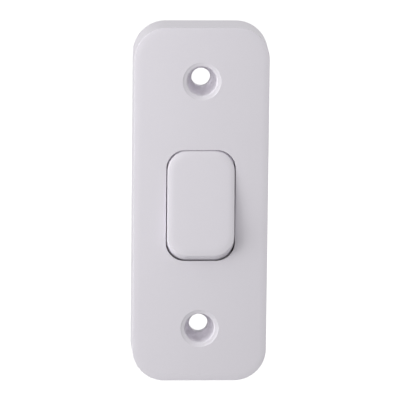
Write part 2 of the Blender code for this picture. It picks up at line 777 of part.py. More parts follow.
def terminal_ways(tag, side_x, side_z):
    """The slot for the strip, the well for the screw and the entry for the wire, of a used pocket."""
    open_y = HOUSING_FRONT_Y - PAST
    x = side_x * TERMINAL_X
    near_z, far_z = sorted((side_z * (CHAMBER_HALF - PAST), side_z * (POCKET_START + PAST)))
    slot = box(f"{tag}_slot", (x - SLOT_WAY_HALF, open_y, near_z), (x + SLOT_WAY_HALF, FLOOR_Y, far_z))
    depth = (FLOOR_Y - PAST, HOUSING_REAR_Y + PAST)
    well = cylinder(f"{tag}_well", WELL_RADIUS, "Y", *depth, (x, 0, side_z * TERMINAL_Z), 24)
    reach = sorted((side_z * (POCKET_END - PAST), side_z * (HOUSING_HEIGHT / 2 + PAST)))
    entry = cylinder(f"{tag}_entry", WIRE_ENTRY_RADIUS, "Z", *reach, (x, WIRE_Y, 0), 24)
    return [slot, well, entry]


def make_mechanism_housing(used):
    """The base moulding: an open chamber, and four terminal pockets of which three are used."""
    outline = rounded_rectangle(HOUSING_WIDTH, HOUSING_HEIGHT, HOUSING_CORNER, 5)
    housing = prism("mechanism_housing", outline, "Y", HOUSING_FRONT_Y, HOUSING_REAR_Y)
    round_edges(housing, HOUSING_EDGE, 2, lambda point: point.y > HOUSING_REAR_Y - TINY)
    open_y = HOUSING_FRONT_Y - PAST
    half_width = CHAMBER_WIDTH / 2
    openings = [box("chamber", (-half_width, open_y, -CHAMBER_HALF), (half_width, FLOOR_Y, CHAMBER_HALF))]
    for side_z, end in ((1, "upper"), (-1, "lower")):
        for side_x, name in ((1, "right"), (-1, "left")):
            openings.append(terminal_pocket(f"{name}_{end}", side_x, side_z))
            if (side_x, side_z) in used:
                openings += terminal_ways(f"{name}_{end}", side_x, side_z)
        centre = (0, 0, side_z * PILLAR_Z)
        passage = (open_y, HOUSING_REAR_Y)
        openings.append(cylinder(f"{end}_screw_passage", PILLAR_HOLE, "Y", *passage, centre, 20))
        seat = (SCREW_SEAT_Y, HOUSING_REAR_Y + PAST)
        openings.append(cylinder(f"{end}_screw_well", SCREW_WELL_RADIUS, "Y", *seat, centre, 24))
        relief = (FLOOR_Y - PAST, RELIEF_Y)
        centre = (0, 0, side_z * CONTACT_REACH)
        openings.append(cylinder(f"{end}_rivet_relief", RELIEF_RADIUS, "Y", *relief, centre, 20))
    cut(housing, *openings)
    finished(housing, BASE_PLASTIC)


def make_bearing_frame():
    """A flat frame over the housing's mouth, with two notched posts that carry the trunnions."""
    outline = rounded_rectangle(FRAME_WIDTH, FRAME_HEIGHT, HOUSING_CORNER, 4)
    frame = prism("bearing_frame", outline, "Y", FRAME_FRONT_Y, FRAME_REAR_Y)
    through = (FRAME_FRONT_Y - PAST, FRAME_REAR_Y + PAST)
    half_width = FRAME_OPENING_WIDTH / 2
    half_height = FRAME_OPENING_HEIGHT / 2
    low = (-half_width, through[0], -half_height)
    high = (half_width, through[1], half_height)
    opening = box("frame_opening", low, high)
    notch = [(POST_FRONT_Y - PAST, -BEARING_RADIUS)]
    notch += arc(PIVOT_Y, 0, BEARING_RADIUS, BEARING_RADIUS, -90, 90, 10)
    notch += [(POST_FRONT_Y - PAST, BEARING_RADIUS)]
    holes = [opening, prism("bearing_notches", notch, "X", -FRAME_WIDTH, FRAME_WIDTH)]
    for side, end in ((1, "upper"), (-1, "lower")):
        centre = (0, 0, side * PILLAR_Z)
        holes.append(cylinder(f"{end}_frame_hole", FRAME_HOLE_RADIUS, "Y", *through, centre, 24))
    posts = []
    for side, name in ((1, "right"), (-1, "left")):
        near, far = sorted((side * POST_X[0], side * POST_X[1]))
        root_y = FRAME_REAR_Y - POST_ROOT
        posts.append(box(f"{name}_post", (near, POST_FRONT_Y, -POST_HALF), (far, root_y, POST_HALF)))
    join(frame, *posts)
    cut(frame, *holes)
    finished(frame, BASE_PLASTIC)


# ---------------------------------------------------------------- the whole switch

# Seen from the front, the common terminal is at the upper right and the two lines are on the left.
# The lower right pocket is a blank one.
TERMINALS = {"common": (1, 1), "line1": (-1, 1), "line2": (-1, -1)}

rocker_pivot = pivot("rocker_pivot", PIVOT_Y, -ROCKER_TILT)
beam_pivot = pivot("beam_pivot", BEAM_PIVOT_Y, BEAM_TILT)

make_front_plate()
make_bearing_frame()
make_mechanism_housing(TERMINALS.values())
make_rocker(rocker_pivot)
make_plunger(rocker_pivot)
make_plunger_spring(rocker_pivot)
make_contact_beam(beam_pivot)
make_common_strap()
make_line_strip("line1", 1)
make_line_strip("line2", -1)
for terminal, (x_side, z_side) in TERMINALS.items():
    make_terminal(f"{terminal}_terminal", x_side * TERMINAL_X, z_side * TERMINAL_Z)
    make_terminal_screw(f"{terminal}_terminal_screw", x_side * TERMINAL_X, z_side * TERMINAL_Z)
make_housing_screw("upper_housing_screw", PILLAR_Z)
make_housing_screw("lower_housing_screw", -PILLAR_Z)
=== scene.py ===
"""Looks of the narrow rocker wall switch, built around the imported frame.

+Z up, the plate's front faces -Y. Every piece stands in for one CAD node, in the same place and with the
same envelope, with finer curves, rounded edges, threads and a procedural material. Shapes are worked in
millimetres, and placed() brings them to the frame's metres.
"""

import json
import math

import bmesh
import bpy
from mathutils import Matrix, Vector

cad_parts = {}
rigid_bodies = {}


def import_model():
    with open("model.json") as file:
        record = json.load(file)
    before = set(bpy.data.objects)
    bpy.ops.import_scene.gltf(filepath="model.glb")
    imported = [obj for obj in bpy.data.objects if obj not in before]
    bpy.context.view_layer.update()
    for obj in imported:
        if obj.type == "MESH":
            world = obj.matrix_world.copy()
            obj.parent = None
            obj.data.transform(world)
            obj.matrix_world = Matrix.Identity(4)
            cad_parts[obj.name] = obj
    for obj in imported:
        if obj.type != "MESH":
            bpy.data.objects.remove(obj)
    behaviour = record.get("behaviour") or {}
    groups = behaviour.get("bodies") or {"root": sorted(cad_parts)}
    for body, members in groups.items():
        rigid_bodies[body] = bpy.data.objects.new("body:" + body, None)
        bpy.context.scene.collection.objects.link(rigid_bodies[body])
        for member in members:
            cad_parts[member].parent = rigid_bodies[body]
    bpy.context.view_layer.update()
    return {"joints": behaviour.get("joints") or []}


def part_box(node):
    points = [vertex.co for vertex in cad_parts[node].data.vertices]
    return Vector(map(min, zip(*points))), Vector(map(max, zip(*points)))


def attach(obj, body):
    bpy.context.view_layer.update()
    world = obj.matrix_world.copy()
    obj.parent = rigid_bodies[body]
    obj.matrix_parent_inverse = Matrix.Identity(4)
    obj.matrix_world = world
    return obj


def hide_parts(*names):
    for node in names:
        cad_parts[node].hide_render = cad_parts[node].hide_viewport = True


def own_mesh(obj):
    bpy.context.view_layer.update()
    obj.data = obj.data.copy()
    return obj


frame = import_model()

MM = 0.001
PAST = 1.0  # how far a cutter runs past the face that it opens
ROOT = 0.4  # how far a rib or boss is sunk into the face that it stands on
JOINTS = {joint["name"]: joint for joint in frame["joints"]}


def span(node):
    """A CAD node's lowest and highest corners, in millimetres."""
    low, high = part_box(node)
    return low / MM, high / MM


def centre_of(node):
    low, high = span(node)
    return (low + high) / 2


def hinge(joint):
    """The middle of a hinge's axis, in millimetres."""
    return Vector(JOINTS[joint]["pos_m"]) / MM


def half_travel(joint):
    """The angle between a hinge's mid position and its rest."""
    low, high = JOINTS[joint]["range_deg"]
    return math.radians(high - low) / 2


# ---------------------------------------------------------------- shapes


def new_object(name, bm):
    """A scene object from a bmesh, with its normals facing out."""
    bmesh.ops.recalc_face_normals(bm, faces=bm.faces)
    mesh = bpy.data.meshes.new(name)
    bm.to_mesh(mesh)
    bm.free()
    obj = bpy.data.objects.new(name, mesh)
    bpy.context.scene.collection.objects.link(obj)
    return obj


def round_sharp(bm, radius, segments=3):
    """Rounds every edge where two faces meet at more than a slight angle."""
    paired = [edge for edge in bm.edges if len(edge.link_faces) == 2]
    sharp = [edge for edge in paired if edge.calc_face_angle() > math.radians(30)]
    bmesh.ops.bevel(
        bm, geom=sharp, offset=radius, segments=segments, profile=0.5, affect="EDGES", clamp_overlap=True
    )


def block(low, high, edge=0.0, segments=3):
    bm = bmesh.new()
    bmesh.ops.create_cube(bm, size=1)
    for vertex in bm.verts:
        for axis in range(3):
            middle = (low[axis] + high[axis]) / 2
            vertex.co[axis] = middle + vertex.co[axis] * (high[axis] - low[axis])
    if edge:
        round_sharp(bm, edge, segments)
    return new_object("block", bm)


def loft(name, sections, edge=0.0):
    """A closed skin through sections with equal numbers of points, capped at both ends."""
    bm = bmesh.new()
    rings = [[bm.verts.new(point) for point in section] for section in sections]
    for ring, following in zip(rings, rings[1:]):
        for index in range(len(ring)):
            bm.faces.new((ring[index - 1], ring[index], following[index], following[index - 1]))
    for cap in (rings[0], rings[-1]):
        bm.faces.new(cap)
    if edge:
        bmesh.ops.recalc_face_normals(bm, faces=bm.faces)
        round_sharp(bm, edge)
    return new_object(name, bm)


def prism(name, outline, along, low, high, edge=0.0):
    """A flat outline in the other two axes, run from low to high along X or Y."""
    if along == "Y":
        sections = [[(a, level, b) for a, b in outline] for level in (low, high)]
    else:
        sections = [[(level, a, b) for a, b in outline] for level in (low, high)]
    return loft(name, sections, edge)


def turned(name, profile, along="Y", centre=(0, 0, 0), steps=72, ridge=None):
    """A profile of (radius, distance) points turned about an axis.

    ridge(angle, distance) gives a length to add to the radius.
    """
    order = {"X": (2, 0, 1), "Y": (0, 2, 1), "Z": (0, 1, 2)}[along]
    bm = bmesh.new()
    rings = []
    for radius, distance in profile:
        ring = []
        for step in range(steps if radius else 1):
            angle = 2 * math.pi * step / steps
            reach = radius + (ridge(angle, distance) if ridge and radius else 0)
            local = (reach * math.cos(angle), reach * math.sin(angle), distance)
            ring.append(bm.verts.new([centre[axis] + local[order[axis]] for axis in range(3)]))
        rings.append(ring)
    for ring, following in zip(rings, rings[1:]):
        for index in range(steps):
            corners = [group[at % len(group)] for group, at in (
                (ring, index - 1), (ring, index), (following, index), (following, index - 1)
            )]
            bm.faces.new(list(dict.fromkeys(corners)))
    return new_object(name, bm)


def rounded_rectangle(width, height, corner, segments=18):
    points = []
    for quarter, (side_x, side_z) in enumerate(((1, 1), (-1, 1), (-1, -1), (1, -1))):
        centre_x = side_x * (width / 2 - corner)
        centre_z = side_z * (height / 2 - corner)
        for step in range(segments + 1):
            angle = (quarter + step / segments) * math.pi / 2
            points.append((centre_x + corner * math.cos(angle), centre_z + corner * math.sin(angle)))
    return points


def arc(centre_a, centre_b, radius_a, radius_b, start, end, segments):
    """Points on an ellipse's arc between two angles, in degrees."""
    angles = [math.radians(start + (end - start) * step / segments) for step in range(segments + 1)]
    return [(centre_a + radius_a * math.cos(t), centre_b + radius_b * math.sin(t)) for t in angles]


def evenly(start, end, count):
    return [start + (end - start) * step / (count - 1) for step in range(count)]


def worked(obj, additions=(), openings=()):
    """One union of the object with all its additions, then one cut with all its openings."""
    groups = []
    for operation, others in (("UNION", additions), ("DIFFERENCE", openings)):
        if not others:
            continue
        group = bpy.data.collections.new(f"{obj.name}_{operation.lower()}")
        bpy.context.scene.collection.children.link(group)
        for other in others:
            bpy.context.scene.collection.objects.unlink(other)
            group.objects.link(other)
        boolean = obj.modifiers.new(group.name, "BOOLEAN")
        boolean.operation = operation
        boolean.solver = "EXACT"
        boolean.operand_type = "COLLECTION"
        boolean.collection = group
        groups.append(group)
    bpy.context.view_layer.update()
    graph = bpy.context.evaluated_depsgraph_get()
    mesh = bpy.data.meshes.new_from_object(obj.evaluated_get(graph))
    obj.modifiers.clear()
    obj.data = mesh
    for group in groups:
        for other in list(group.objects):
            bpy.data.objects.remove(other)
        bpy.data.collections.remove(group)
    return obj


def placed(obj, node, body, slot, turn=None, sharp=28):
    """Finishes a piece: size, shading, material, the CAD node it stands for and the body it rides on."""
    mesh = obj.data
    if turn:
        mesh.transform(turn)
    mesh.transform(Matrix.Scale(MM, 4))
    obj.location *= MM
    mesh.materials.clear()
    mesh.materials.append(SLOT_MATERIALS[slot])
    mesh.shade_smooth()
    mesh.set_sharp_from_angle(angle=math.radians(sharp))
    weighted = obj.modifiers.new("even_normals", "WEIGHTED_NORMAL")
    weighted.keep_sharp = True
    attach(obj, body)
    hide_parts(node)
    return obj


# ---------------------------------------------------------------- materials


class Recipe:
    """A material's node tree, with short calls for the nodes used here."""

    def __init__(self, name, roughness, metallic):
        self.material = bpy.data.materials.new(name)
        self.material.use_nodes = True
        self.tree = self.material.node_tree
        self.shader = self.tree.nodes["Principled BSDF"]
        self.shader.inputs["Roughness"].default_value = roughness
        self.shader.inputs["Metallic"].default_value = metallic
        self.place = self.node("ShaderNodeTexCoord").outputs["Object"]

    def node(self, kind, **settings):
        node = self.tree.nodes.new(kind)
        for key, value in settings.items():
            setattr(node, key, value)
        return node

    def link(self, output, target):
        self.tree.links.new(output, target)

    def noise(self, scale, detail=2.0, stretch=(1, 1, 1)):
        mapping = self.node("ShaderNodeMapping")
        mapping.inputs["Scale"].default_value = stretch
        self.link(self.place, mapping.inputs["Vector"])
        noise = self.node("ShaderNodeTexNoise")
        noise.inputs["Scale"].default_value = scale
        noise.inputs["Detail"].default_value = detail
        self.link(mapping.outputs["Vector"], noise.inputs["Vector"])
        return noise.outputs["Fac"]

    def ramp(self, factor, *stops):
        ramp = self.node("ShaderNodeValToRGB")
        elements = ramp.color_ramp.elements
        while len(elements) < len(stops):
            elements.new(0.5)
        for element, (position, colour) in zip(elements, stops):
            element.position = position
            element.color = (*colour, 1)
        self.link(factor, ramp.inputs["Fac"])
        return ramp.outputs["Color"]

    def mixed(self, factor, first, second):
        mix = self.node("ShaderNodeMix", data_type="RGBA")
        self.link(factor, mix.inputs["Factor"])
        self.link(first, mix.inputs["A"])
        self.link(second, mix.inputs["B"])
        return mix.outputs["Result"]

    def ranged(self, factor, low, high):
        """The middle of a noise's spread, stretched to run from low to high."""
        scaled = self.node("ShaderNodeMapRange")
        scaled.inputs["From Min"].default_value = 0.3
        scaled.inputs["From Max"].default_value = 0.7
        scaled.inputs["To Min"].default_value = low
        scaled.inputs["To Max"].default_value = high
        self.link(factor, scaled.inputs["Value"])
        return scaled.outputs["Result"]

    def bump(self, *layers):
        """Layers of (height, distance in metres), the finest last."""
        normal = None
        for height, distance in layers:
            bump = self.node("ShaderNodeBump")
            bump.inputs["Distance"].default_value = distance
            self.link(height, bump.inputs["Height"])
            if normal:
                self.link(normal, bump.inputs["Normal"])
            normal = bump.outputs["Normal"]
        self.link(normal, self.shader.inputs["Normal"])

    def finish(self, colour, roughness):
        self.link(colour, self.shader.inputs["Base Color"])
        self.link(roughness, self.shader.inputs["Roughness"])
        return self.material


WAVINESS = 6e-6  # how far a moulded face rises and falls, in metres


def shade(colour, factor):
    return tuple(min(1.0, channel * factor) for channel in colour)


def plastic(name, colour, roughness, variation, grain):
    """Moulded plastic: a faint unevenness of colour and gloss, and a fine mould grain."""
    recipe = Recipe(name, roughness, 0.0)
    broad = recipe.noise(90, 2.0)
    fine = recipe.noise(2600, 3.0)
    pale = shade(colour, 1 + variation)
    flow = recipe.ramp(broad, (0.30, shade(colour, 1 - variation)), (0.70, pale))
    speck = recipe.ramp(fine, (0.35, shade(colour, 1 - 2 * variation)), (0.65, pale))
    blend = recipe.ranged(recipe.noise(700, 1.0), 0.2, 0.6)
    recipe.bump((recipe.noise(160, 1.0), WAVINESS), (recipe.noise(5200, 2.0), grain))
    gloss = recipe.ranged(recipe.noise(1400, 2.0), roughness - 0.05, roughness + 0.05)
    return recipe.finish(recipe.mixed(blend, flow, speck), gloss)


def metal(name, colour, tarnish, roughness, stretch, streak, scratch):
    """Worked metal: streaks along the working direction, and a little tarnish in patches."""
    recipe = Recipe(name, roughness, 1.0)
    lines = recipe.noise(streak, 3.0, stretch)
    worked_colour = recipe.ramp(lines, (0.35, shade(colour, 0.90)), (0.65, shade(colour, 1.06)))
    aged = recipe.ramp(recipe.noise(900, 3.0), (0.40, shade(tarnish, 0.9)), (0.80, tarnish))
    patches = recipe.ranged(recipe.noise(320, 4.0), -0.25, 0.55)
    recipe.bump((lines, scratch), (recipe.noise(4200, 2.0), scratch / 2))
    gloss = recipe.ranged(recipe.noise(1100, 3.0), roughness - 0.07, roughness + 0.10)
    return recipe.finish(recipe.mixed(patches, worked_colour, aged), gloss)


WHITE = plastic("white_thermoset", (0.840, 0.812, 0.868), 0.36, 0.006, 6e-7)
BASE = plastic("grey_base_moulding", (0.640, 0.640, 0.625), 0.52, 0.035, 4e-6)
ACETAL = plastic("natural_acetal", (0.800, 0.785, 0.720), 0.38, 0.012, 1e-6)
BRASS = metal("machined_brass", (0.80, 0.60, 0.27), (0.52, 0.36, 0.14), 0.27, (1, 6, 1), 700, 2e-6)
COPPER = metal("rolled_copper", (0.82, 0.44, 0.29), (0.48, 0.22, 0.13), 0.31, (8, 8, 1), 420, 2e-6)
SILVER = metal("silver_contact", (0.86, 0.85, 0.82), (0.58, 0.56, 0.50), 0.24, (1, 1, 1), 1500, 1e-6)
ZINC = metal("zinc_plate", (0.66, 0.67, 0.70), (0.50, 0.50, 0.48), 0.29, (1, 4, 1), 900, 1e-6)
WIRE = metal("drawn_spring_wire", (0.50, 0.51, 0.53), (0.34, 0.34, 0.36), 0.30, (1, 1, 6), 900, 1e-6)


# ---------------------------------------------------------------- front plate

PLATE_LOW, PLATE_HIGH = span("front_plate")
FACE_Y = PLATE_LOW.y
PLATE_SIZE = PLATE_HIGH - PLATE_LOW
PLATE_CORNER = 7.8
PLATE_DRAFT = 0.12  # how much the sides lean in from the rear to the front
PLATE_CROWN = 0.11
CROWN_WIDTH = 1.6  # the faces of the plate and the rocker fall back a little over this width
EDGE_RADIUS = 0.1
REAR_EDGE = 0.12
PLATE_SKIN = 2.2
CEILING_Y = FACE_Y + PLATE_SKIN
SIDE_THICKNESS = 1.8
CEILING_FILLET = 0.5
FIXING_Z = 30.15
PILLAR_Z = centre_of("upper_housing_screw").z
PIVOT = hinge("rocker_tilt")
DISH_EDGE = ((4.8, -PAST), (4.62, -0.01), (4.53, 0.03), (4.46, 0.08), (4.40, 0.12))  # (radius, depth)
RIM_RADIUS = 3.95
RIM_DEPTH = 0.22
RIM_END = 0.70
RECESS_RADIUS = 3.5
WALL_END = 3.2
SEAT_DEPTH = 5.5
BORE_RADIUS = 2.25
FIXING_POST = (5.4, -2.0)  # radius, and where it ends along Y
PILLAR_POST = (2.7, -0.9)
PILLAR_BORE = (1.45, -6.7)
MID_RIB_HALF = 0.6
MID_RIB_END = -3.6
CHEEK_RIB_END = -5.15
WALL_RIB_END = -4.6
RIB_EDGE = 0.15
EJECTOR_RADIUS = 1.25
EJECTOR_DEPTH = 0.08
APERTURE_WIDTH = 16.5
APERTURE_HEIGHT = 26.95
APERTURE_CORNER = 4.5
APERTURE_LIP = 0.10
APERTURE_RIM = PIVOT.y - FACE_Y
ROCKER_WIDTH = 16.02
ROCKER_HEIGHT = 26.27
ROCKER_CORNER = 4.85
ROCKER_CROWN = 0.22


def soft_edge(crown):
    """Insets and setbacks of a front edge, from the side inward: a tight corner, then a slight crown."""
    slope = math.degrees(math.atan(2 * crown / CROWN_WIDTH))
    edge = arc(EDGE_RADIUS, crown + EDGE_RADIUS, -EDGE_RADIUS, -EDGE_RADIUS, 0, 90 - slope, 6)
    start = edge[-1][0]
    for part in evenly(0, 1, 10)[1:]:
        edge.append((start + CROWN_WIDTH * part, crown * (1 - part) ** 2))
    return edge


def swung_section(forward, width, height, corner):
    """An outline in front of the pivot; each point keeps its distance from the axis at the face."""
    section = []
    for x, z in rounded_rectangle(width, height, corner):
        reach = math.sqrt(APERTURE_RIM**2 + z**2 - forward**2)
        section.append((x, -forward, math.copysign(reach, z)))
    return section


def aperture_section(forward, inset=0):
    width, height = APERTURE_WIDTH - 2 * inset, APERTURE_HEIGHT - 2 * inset
    return swung_section(forward, width, height, APERTURE_CORNER - inset)


def rocker_section(forward, inset=0):
    width, height = ROCKER_WIDTH - 2 * inset, ROCKER_HEIGHT - 2 * inset
    return swung_section(forward, width, height, ROCKER_CORNER - inset)


def plate_section(y, inset):
    width, height = PLATE_SIZE.x - 2 * inset, PLATE_SIZE.z - 2 * inset
    return [(x, y, z) for x, z in rounded_rectangle(width, height, PLATE_CORNER - inset, 24)]


def fixing_recess(z):
    """The cutter for a shallow dish, the well for a screw head, a round seat and a clear bore."""
    profile = [(0, -PAST), *DISH_EDGE]
    profile += arc(RIM_RADIUS, RIM_END, RECESS_RADIUS - RIM_RADIUS, RIM_DEPTH - RIM_END, 80, 0, 10)
    profile += arc(BORE_RADIUS, WALL_END, RECESS_RADIUS - BORE_RADIUS, SEAT_DEPTH - WALL_END, 0, 86, 14)
    profile += [(BORE_RADIUS + 0.02, SEAT_DEPTH + 0.02), (BORE_RADIUS, SEAT_DEPTH + 0.06)]
    profile += [(BORE_RADIUS, PLATE_SIZE.y), (0, PLATE_SIZE.y)]
    return turned("recess", profile, "Y", (0, FACE_Y, z), 96)


def round_ended(radius, start, end, edge):
    """The profile of a round bar whose far end has a rounded edge."""
    rounding = arc(radius - edge, end - edge, edge, edge, 0, 90, 4)
    return [(0, start), (radius, start), *rounding, (0, end)]


def post(radius, end_y, z):
    """A round post standing on the plate's ceiling, with its end rounded."""
    return turned("post", round_ended(radius, CEILING_Y - ROOT, end_y, 0.25), "Y", (0, 0, z))


def bore(radius, start, end, centre=(0, 0, 0), chamfer=0.2, along="Y"):
    """The cutter for a bore that opens, with a chamfer, where the axis reaches end."""
    onward = math.copysign(1, end - start)
    profile = [(0, start), (radius, start), (radius, end - onward * chamfer)]
    profile += [(radius + chamfer + PAST, end + onward * PAST), (0, end + onward * PAST)]
    return turned("bore", profile, along, centre, 56)


def plate_ribs():
    """Ribs along the middle line, cheeks beside the rocker, and rails beside the housing."""
    root_y = CEILING_Y - ROOT
    ribs = []
    for side in (1, -1):
        for near, far in ((19.5, 26.0), (34.0, 42.4)):
            low, high = sorted((side * near, side * far))
            corners = (-MID_RIB_HALF, root_y, low), (MID_RIB_HALF, MID_RIB_END, high)
            ribs.append(block(*corners, RIB_EDGE))
        for near, far, end, half in ((8.6, 10.5, CHEEK_RIB_END, 1.2), (11.5, 12.6, WALL_RIB_END, 21)):
            low, high = sorted((side * near, side * far))
            ribs.append(block((low, root_y, -half), (high, end, half), RIB_EDGE))
    return ribs


def aperture_cutter():
    """The cutter for the rocker's opening, curved about the pivot, with a rounded lip at the face."""
    sections = [aperture_section(forward) for forward in evenly(3.0, APERTURE_RIM - APERTURE_LIP, 5)]
    for inset, rise in arc(-APERTURE_LIP, 0, APERTURE_LIP, APERTURE_LIP, 0, 75, 3)[1:]:
        sections.append(aperture_section(APERTURE_RIM - APERTURE_LIP + rise, inset))
    sections.append(aperture_section(APERTURE_RIM + 0.3, -3 * APERTURE_LIP))
    cutter = loft("aperture", sections)
    cutter.data.transform(Matrix.Translation(PIVOT))
    return cutter


def ejector_marks():
    """The shallow round marks that the mould's pins leave behind the face."""
    bottom = CEILING_Y - EJECTOR_DEPTH
    top = bottom + PAST
    profile = [(0, bottom), (EJECTOR_RADIUS, bottom), (EJECTOR_RADIUS, top), (0, top)]
    places = [(x, z) for x in (-10.2, 10.2) for z in (-35.5, -26.5, 26.5, 35.5)]
    return [turned("ejector_mark", profile, "Y", (x, 0, z), 40) for x, z in places]


def make_front_plate():
    sections = [plate_section(PLATE_HIGH.y, REAR_EDGE), plate_section(PLATE_HIGH.y - REAR_EDGE, 0)]
    for inset, setback in soft_edge(PLATE_CROWN):
        sections.append(plate_section(FACE_Y + setback, PLATE_DRAFT + inset))
    plate = loft("front_plate_moulding", sections)
    hollow = [plate_section(PLATE_HIGH.y + PAST, SIDE_THICKNESS)]
    fillet = arc(SIDE_THICKNESS + CEILING_FILLET, 0, -CEILING_FILLET, CEILING_FILLET, 0, 90, 5)
    hollow += [plate_section(CEILING_Y + CEILING_FILLET - rise, inset) for inset, rise in fillet]
    worked(plate, openings=[loft("hollow", hollow)])
    additions = plate_ribs()
    openings = [aperture_cutter(), *ejector_marks()]
    for side in (1, -1):
        pillar = (0, 0, side * PILLAR_Z)
        additions += [post(*FIXING_POST, side * FIXING_Z), post(*PILLAR_POST, side * PILLAR_Z)]
        openings += [fixing_recess(side * FIXING_Z), bore(*PILLAR_BORE, PILLAR_POST[1], pillar)]
    worked(plate, additions, openings)
    placed(plate, "front_plate", "base", "white_plastic")


# ---------------------------------------------------------------- rocker, plunger and spring

ROCKER_FACE = 7.445
ROCKER_SKIN = 1.5
FACE_SKIN = 1.8
LOBE_DEPTH = 2.2
TUBE_RADIUS = 2.6
TUBE_END = 4.6
TUBE_BOTTOM = -4.5
TUBE_BORE = 1.75
TRUNNION_RADIUS = 1.4
TRUNNION_END = 9.9
SKIRT_REAR = -2.6
PLUNGER_RADIUS = 1.55
SPRING_TURNS = 8
SPRING_STEPS = 32  # to a turn
SPRING_RADIUS = 1.2
SPRING_WIRE = 0.16
SPRING_START = -4.24
SPRING_END = 1.14
ROCKER_TURN = Matrix.Translation(PIVOT) @ Matrix.Rotation(-half_travel("rocker_tilt"), 4, "X")


def rocker_ribs():
    """The cross ribs, the plunger's tube and the two trunnions."""
    root_y = -ROCKER_FACE + FACE_SKIN - ROOT
    half = (ROCKER_WIDTH - ROCKER_SKIN) / 2
    parts = [
        block((-half, root_y, -0.6), (half, -1.0, 0.6), 0.12),
        block((-0.6, root_y, -11.6), (0.6, -4.2, 11.6), 0.12),
    ]
    parts.append(turned("tube", round_ended(TUBE_RADIUS, root_y, TUBE_END, 0.2)))
    trunnion = round_ended(TRUNNION_RADIUS, half, TRUNNION_END, 0.25)
    for side in (1, -1):
        parts.append(turned("trunnion", [(radius, side * reach) for radius, reach in trunnion], "X"))
    return parts


def rocker_hollow():
    """The cutter for the inside of the cap, with a fillet under its face."""
    fillet = 0.4
    end = ROCKER_FACE - FACE_SKIN
    levels = evenly(-LOBE_DEPTH - PAST, end - fillet, 8)
    sections = [rocker_section(level, ROCKER_SKIN) for level in levels]
    for more, rise in arc(fillet, 0, -fillet, fillet, 0, 90, 4)[1:]:
        sections.append(rocker_section(end - fillet + rise, ROCKER_SKIN + more))
    return loft("rocker_hollow", sections)


def skirt_end(side):
    """The cutter that leaves only a lobe of the skirt around the trunnions."""
    far = side * PLATE_SIZE.x
    outline = [(SKIRT_REAR, side * 7), (LOBE_DEPTH, side * 3), (LOBE_DEPTH + PAST, side * 3)]
    outline += [(LOBE_DEPTH + PAST, far), (SKIRT_REAR, far)]
    return prism("skirt_end", outline, "X", -PLATE_SIZE.x, PLATE_SIZE.x)


def make_rocker():
    edge = soft_edge(ROCKER_CROWN)
    levels = evenly(-LOBE_DEPTH, ROCKER_FACE - edge[0][1], 12)
    sections = [rocker_section(level) for level in levels]
    for inset, setback in edge[1:]:
        sections.append(rocker_section(ROCKER_FACE - setback, inset))
    cap = loft("rocker_moulding", sections)
    worked(cap, openings=[rocker_hollow(), skirt_end(1), skirt_end(-1)])
    worked(cap, rocker_ribs(), [bore(TUBE_BORE, TUBE_BOTTOM, TUBE_END, chamfer=0.12)])
    placed(cap, "rocker_cap", "rocker", "white_plastic", ROCKER_TURN)


def make_plunger():
    """A round-nosed pin with a grease groove, sliding in the rocker's tube."""
    groove = PLUNGER_RADIUS - 0.12
    profile = [(0, 1.4), *arc(PLUNGER_RADIUS - 0.25, 1.65, 0.25, 0.25, -90, 0, 4)]
    profile += [(PLUNGER_RADIUS, 3.3), (groove, 3.4), (groove, 3.8), (PLUNGER_RADIUS, 3.9)]
    profile += [(PLUNGER_RADIUS, 7.9), (1.5, 8.2), *arc(0, 8.5, 1.3, 1.3, 8, 84, 10), (0, 9.8)]
    placed(turned("plunger_pin_moulding", profile), "plunger", "plunger_pin", "acetal", ROCKER_TURN)


def make_plunger_spring():
    """A compression spring with its two end turns closed up."""
    closed = 2.2 * SPRING_WIRE
    open_turns = SPRING_TURNS - 2
    pitch = (SPRING_END - SPRING_START - 2 * closed) / open_turns
    sections = []
    for step in range(SPRING_STEPS * SPRING_TURNS + 1):
        turn = step / SPRING_STEPS
        level = SPRING_START + min(turn, 1) * closed + min(max(turn - 1, 0), open_turns) * pitch
        level += max(turn - SPRING_TURNS + 1, 0) * closed
        angle = 2 * math.pi * turn
        wire = arc(SPRING_RADIUS, level, SPRING_WIRE, SPRING_WIRE, 0, 330, 11)
        sections.append([(out * math.cos(angle), along, out * math.sin(angle)) for out, along in wire])
    spring = loft("plunger_spring_coil", sections)
    placed(spring, "plunger_spring", "rocker", "spring_steel", ROCKER_TURN)
    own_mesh(spring)


# ---------------------------------------------------------------- contacts and strips

STRIP_LOW, STRIP_HIGH = span("line1_contact_strip")
STRIP_Y = STRIP_LOW.y
STRIP_REAR_Y = STRIP_HIGH.y
STRIP_THICKNESS = STRIP_REAR_Y - STRIP_Y
STRIP_EDGE = 0.10
TERMINAL_X = centre_of("common_terminal").x
TERMINAL_Z = centre_of("common_terminal").z
CONTACT_REACH = 9.3
CONTACT_RADIUS = 1.6
RIVET_HOLE = 0.9
SCREW_HOLE = 1.8
BEAM_HALF_WIDTH = 2.3
BEAM_HALF_LENGTH = 10.8
STRAP_LEFT = -3.25
STRAP_HALF = 2.4
TAIL_HALF = 2.1
TAIL_END = STRIP_HIGH.z
BEAM_TURN = Matrix.Translation(hinge("beam_tilt")) @ Matrix.Rotation(half_travel("beam_tilt"), 4, "X")


